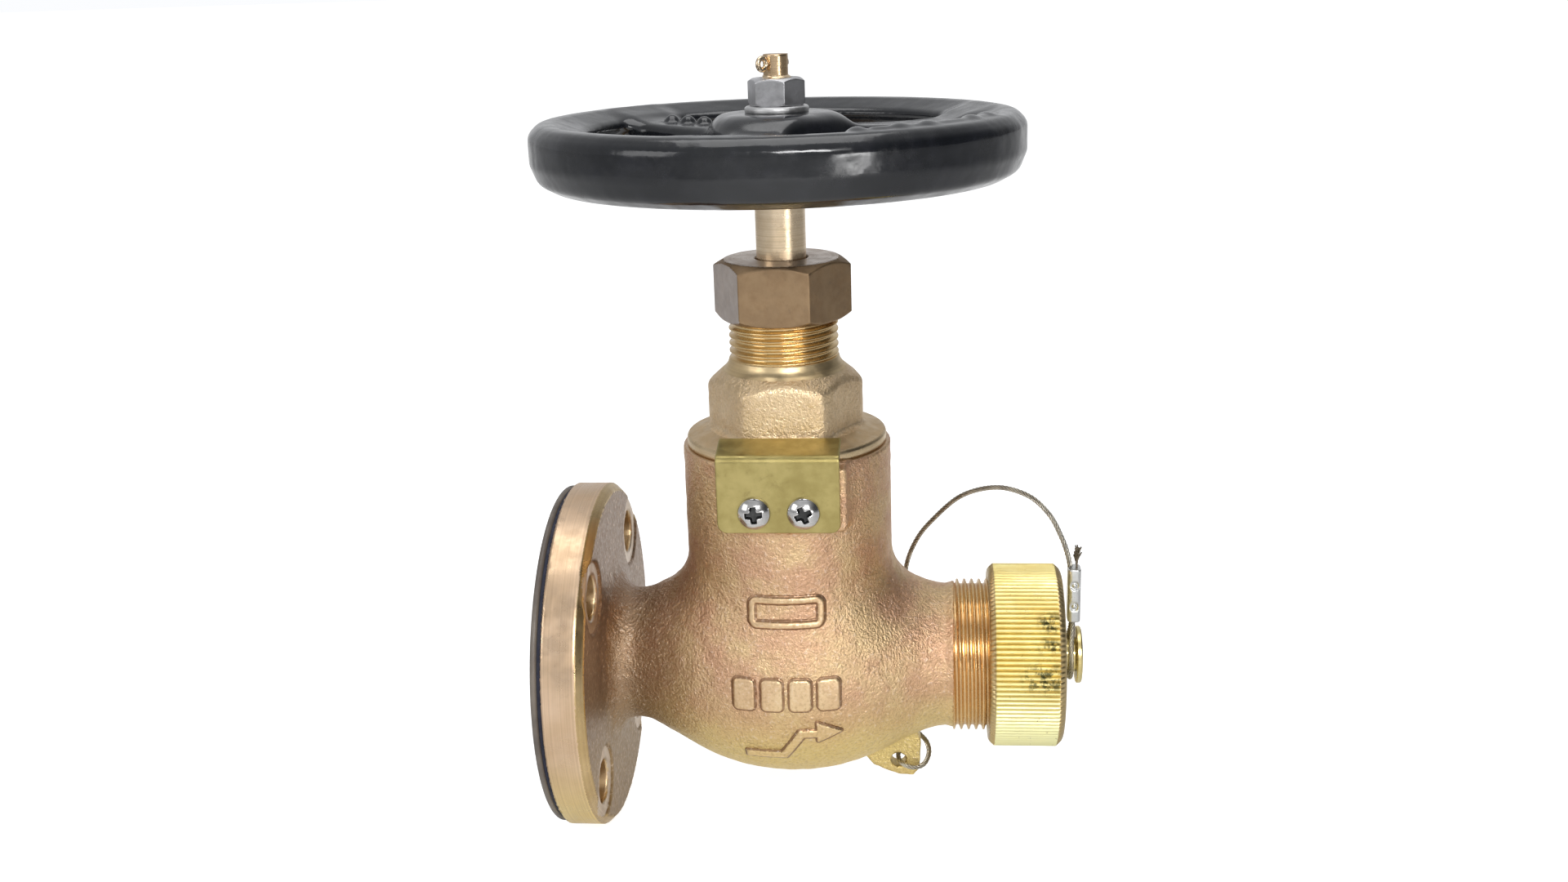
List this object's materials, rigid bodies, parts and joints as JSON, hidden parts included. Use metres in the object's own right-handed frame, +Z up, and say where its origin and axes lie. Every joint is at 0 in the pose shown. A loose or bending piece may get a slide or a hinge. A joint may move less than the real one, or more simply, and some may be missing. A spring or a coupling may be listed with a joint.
{
  "type": "globe valve",
  "caption": "Flanged globe hose valve with a screw-down handwheel stem, screwed bonnet with lock plate, and a threaded hose outlet closed by a knurled cap on a wire lanyard.",
  "frame": {"origin": "centre of the inlet flange's outer mating face, on the pipe axis", "axes": "+X along the flow from the inlet flange to the hose outlet, +Z up along the stem, so -Y is the side with the lock plate and the flow arrow"},
  "size_m": [0.1427, 0.1258, 0.2101],
  "materials": {
    "cast_bronze": "sand cast",
    "bonnet_bronze": "sand cast and turned",
    "turned_bronze": "machined",
    "brown_bronze": "machined",
    "stem_brass": "machined",
    "sheet_brass": "brushed sheet",
    "yellow_brass": "knurled and turned",
    "stainless": "polished",
    "grey_steel": "plain",
    "black_enamel": "gloss",
    "crimp_aluminium": "satin",
    "wire_rope": "stranded",
    "blue_rubber": "matt",
    "black_rubber": "matt",
    "graphite": "matt",
    "pale_plastic": "satin"
  },
  "bodies": {
    "valve": {"valve_body": "cast_bronze", "flange_gasket": "blue_rubber", "flange_guard": "pale_plastic", "bonnet": "bonnet_bronze", "bonnet_gasket": "graphite", "packing_rings": "graphite", "packing_gland": "turned_bronze", "gland_nut": "brown_bronze", "lock_plate": "sheet_brass", "lock_screws": "stainless", "lanyard_wire": "wire_rope", "lug_sleeve": "crimp_aluminium", "lug_loop": "wire_rope"},
    "disc_carrier": {"disc": "turned_bronze", "disc_nut": "turned_bronze"},
    "stem": {"spindle": "stem_brass", "handwheel": "black_enamel", "wheel_washer": "grey_steel", "wheel_nut": "grey_steel", "split_pin": "stem_brass"},
    "lanyard_end": {"cap_sleeve": "crimp_aluminium", "cap_loop": "wire_rope"},
    "outlet_cap": {"cap": "yellow_brass", "cap_gasket": "black_rubber", "cap_stud": "yellow_brass"}
  },
  "joints": [
    {"name": "disc_lift", "type": "slide", "parent": "valve", "child": "disc_carrier", "axis": [0, 0, 1], "range_m": [0, 0.009]},
    {"name": "handwheel_turn", "type": "hinge", "parent": "disc_carrier", "child": "stem", "pos_m": [0.0635, 0, 0.1395], "axis": [0, 0, 1], "range_deg": [0, 1080]},
    {"name": "cap_travel", "type": "slide", "parent": "valve", "child": "lanyard_end", "axis": [1, 0, 0], "range_m": [0, 0.022]},
    {"name": "cap_turn", "type": "hinge", "parent": "lanyard_end", "child": "outlet_cap", "pos_m": [0.135, 0, 0], "axis": [1, 0, 0], "range_deg": [0, 3960]}
  ],
  "couplings": [
    {"joint": "disc_lift", "follows": "handwheel_turn", "m_per_rad": 0.00047746},
    {"joint": "cap_travel", "follows": "cap_turn", "m_per_rad": 0.00031831}
  ]
}
